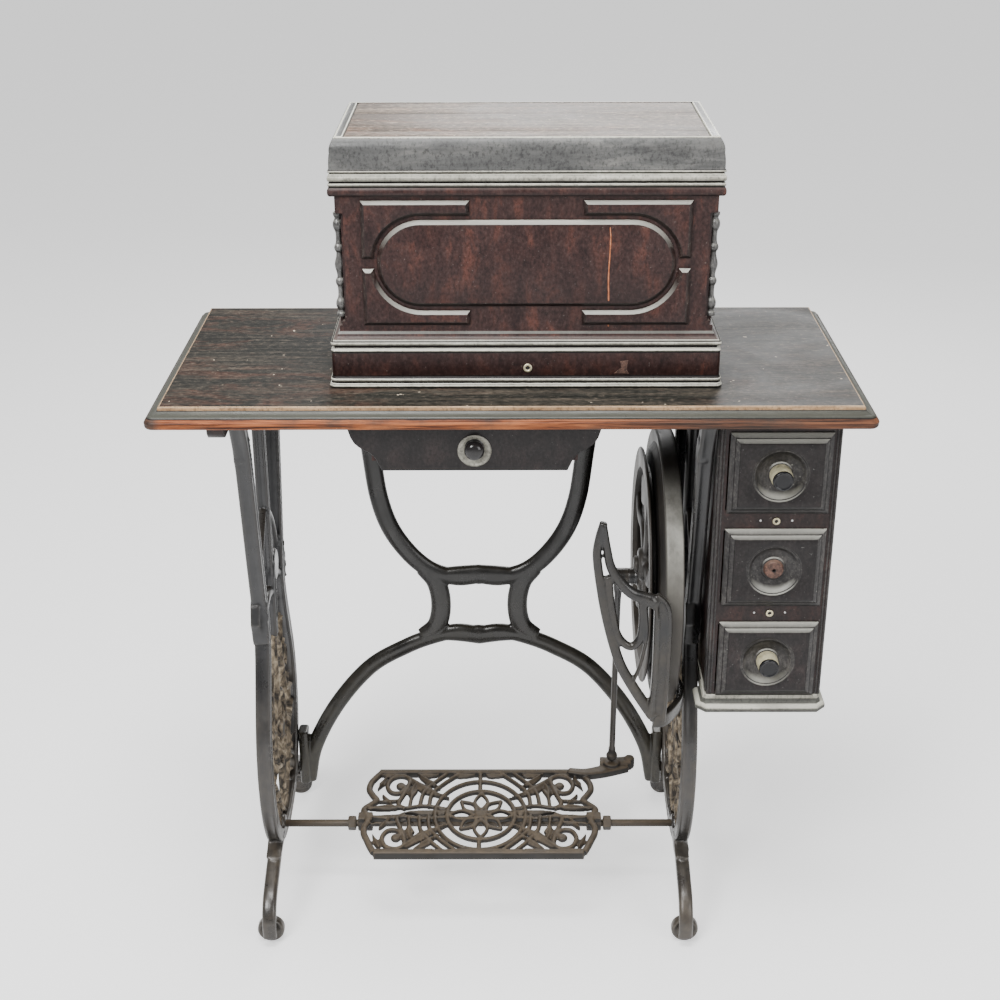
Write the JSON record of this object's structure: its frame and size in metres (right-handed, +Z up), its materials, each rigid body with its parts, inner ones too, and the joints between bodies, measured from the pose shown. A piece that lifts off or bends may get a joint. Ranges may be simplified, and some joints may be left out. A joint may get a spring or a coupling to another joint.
{
  "type": "treadle sewing machine",
  "caption": "Antique treadle sewing machine: coffin cover over the head, wooden table with drawers, cast-iron stand with flywheel, treadle and casters.",
  "frame": {"origin": "on the floor under the middle of the table", "axes": "+Z up, +X to the drawer side, -Y towards the sitter"},
  "size_m": [0.844, 0.408, 1.063],
  "materials": {
    "table_wood": "worn dark varnish, scuffed and dusty",
    "dark_wood": "aged dark varnish with reddish depth and dusty mouldings",
    "moulding_wood": "dusty grey moulding",
    "tray_wood": "plain unfinished wood",
    "iron": "worn black paint with brown dust",
    "rusty_iron": "bare and rusty",
    "wheel_iron": "worn to grey metal on the rim",
    "brass": "tarnished",
    "steel": "nickel plate, dulled",
    "japan_black": "black gloss enamel"
  },
  "bodies": {
    "stand": {"table_top": "table_wood", "left_cleat": "dark_wood", "cover_base": "dark_wood", "cover_keyhole_ring": "brass", "center_drawer_runner_left": "dark_wood", "center_drawer_runner_right": "dark_wood", "side_case": "dark_wood", "side_case_base": "moulding_wood", "rail_keyhole_ring_1": "brass", "rail_keyhole_ring_2": "brass", "left_iron": "iron", "right_iron": "iron", "rear_brace": "iron", "wheel_axle": "steel", "treadle_rod": "rusty_iron", "treadle_nut_left": "rusty_iron", "treadle_nut_right": "rusty_iron", "dress_guard": "iron", "head_bed": "japan_black", "head_arm": "japan_black", "head_face_plate": "steel", "spool_pin": "steel"},
    "cover": {"cover_body": "dark_wood", "cover_lid": "dark_wood", "cover_top_board": "table_wood", "cover_top_strip_left": "table_wood", "cover_top_strip_right": "table_wood", "cover_spindle_left": "dark_wood", "cover_spindle_right": "dark_wood", "cover_oval_panel": "dark_wood", "cover_fret_top_left": "dark_wood", "cover_fret_top_right": "dark_wood", "cover_fret_bottom_left": "dark_wood", "cover_fret_bottom_right": "dark_wood"},
    "center_drawer": {"center_drawer_front": "dark_wood", "center_drawer_tray": "tray_wood", "center_drawer_knob": "dark_wood"},
    "side_drawer_1": {"side_drawer_front_1": "dark_wood", "side_drawer_tray_1": "tray_wood", "side_drawer_knob_1": "brass"},
    "side_drawer_2": {"side_drawer_front_2": "dark_wood", "side_drawer_tray_2": "tray_wood"},
    "side_drawer_3": {"side_drawer_front_3": "dark_wood", "side_drawer_tray_3": "tray_wood", "side_drawer_knob_3": "brass"},
    "flywheel": {"flywheel": "wheel_iron", "crank_pin": "iron"},
    "handwheel": {"handwheel": "steel"},
    "treadle": {"treadle_plate": "rusty_iron"},
    "pitman": {"pitman": "iron"},
    "caster_front_left": {"caster_front_left": "iron"},
    "caster_rear_left": {"caster_rear_left": "iron"},
    "caster_front_right": {"caster_front_right": "iron"},
    "caster_rear_right": {"caster_rear_right": "iron"},
    "needle_bar": {"needle_bar": "steel"},
    "presser_bar": {"presser_bar": "steel"},
    "take_up_lever": {"take_up_lever": "steel"},
    "tension_dial": {"tension_dial": "steel"},
    "bobbin_winder": {"bobbin_winder": "steel"},
    "slide_plate": {"slide_plate": "steel"}
  },
  "joints": [
    {"name": "cover_lift", "type": "slide", "parent": "stand", "child": "cover", "axis": [0, 0, 1], "range_m": [0, 0.34]},
    {"name": "center_drawer_slide", "type": "slide", "parent": "stand", "child": "center_drawer", "axis": [0, -1, 0], "range_m": [0, 0.17]},
    {"name": "side_drawer_1_slide", "type": "slide", "parent": "stand", "child": "side_drawer_1", "axis": [0, -1, 0], "range_m": [0, 0.26]},
    {"name": "side_drawer_2_slide", "type": "slide", "parent": "stand", "child": "side_drawer_2", "axis": [0, -1, 0], "range_m": [0, 0.26]},
    {"name": "side_drawer_3_slide", "type": "slide", "parent": "stand", "child": "side_drawer_3", "axis": [0, -1, 0], "range_m": [0, 0.26]},
    {"name": "flywheel_spin", "type": "hinge", "parent": "stand", "child": "flywheel", "pos_m": [0.2, 0.01, 0.47], "axis": [1, 0, 0], "continuous": true},
    {"name": "handwheel_spin", "type": "hinge", "parent": "stand", "child": "handwheel", "pos_m": [0.185, -0.017, 0.972], "axis": [1, 0, 0], "continuous": true},
    {"name": "treadle_rock", "type": "hinge", "parent": "stand", "child": "treadle", "pos_m": [-0.043, -0.062, 0.105], "axis": [1, 0, 0], "range_deg": [-3.5, 37.5]},
    {"name": "pitman_swing", "type": "hinge", "parent": "treadle", "child": "pitman", "pos_m": [0.1465, 0.055, 0.138], "axis": [1, 0, 0], "range_deg": [-38, 4]},
    {"name": "caster_front_left_roll", "type": "hinge", "parent": "stand", "child": "caster_front_left", "pos_m": [-0.322, -0.1776, 0.018], "axis": [0, 1, 0], "continuous": true},
    {"name": "caster_rear_left_roll", "type": "hinge", "parent": "stand", "child": "caster_rear_left", "pos_m": [-0.322, 0.1676, 0.018], "axis": [0, 1, 0], "continuous": true},
    {"name": "caster_front_right_roll", "type": "hinge", "parent": "stand", "child": "caster_front_right", "pos_m": [0.233, -0.1776, 0.018], "axis": [0, 1, 0], "continuous": true},
    {"name": "caster_rear_right_roll", "type": "hinge", "parent": "stand", "child": "caster_rear_right", "pos_m": [0.233, 0.1676, 0.018], "axis": [0, 1, 0], "continuous": true},
    {"name": "needle_bar_slide", "type": "slide", "parent": "stand", "child": "needle_bar", "axis": [0, 0, -1], "range_m": [0, 0.03]},
    {"name": "presser_bar_lift", "type": "slide", "parent": "stand", "child": "presser_bar", "axis": [0, 0, 1], "range_m": [0, 0.008]},
    {"name": "take_up_lever_rock", "type": "hinge", "parent": "stand", "child": "take_up_lever", "pos_m": [-0.12, -0.045, 0.968], "axis": [0, 1, 0], "range_deg": [-12, 12]},
    {"name": "tension_dial_turn", "type": "hinge", "parent": "stand", "child": "tension_dial", "pos_m": [-0.14, -0.05, 0.94], "axis": [0, 1, 0], "range_deg": [-180, 180]},
    {"name": "bobbin_winder_spin", "type": "hinge", "parent": "stand", "child": "bobbin_winder", "pos_m": [0.14, 0.045, 0.93], "axis": [1, 0, 0], "continuous": true},
    {"name": "slide_plate_slide", "type": "slide", "parent": "stand", "child": "slide_plate", "axis": [0, -1, 0], "range_m": [0, 0.01]}
  ],
  "couplings": [
    {"joint": "pitman_swing", "follows": "treadle_rock", "ratio": -1}
  ]
}
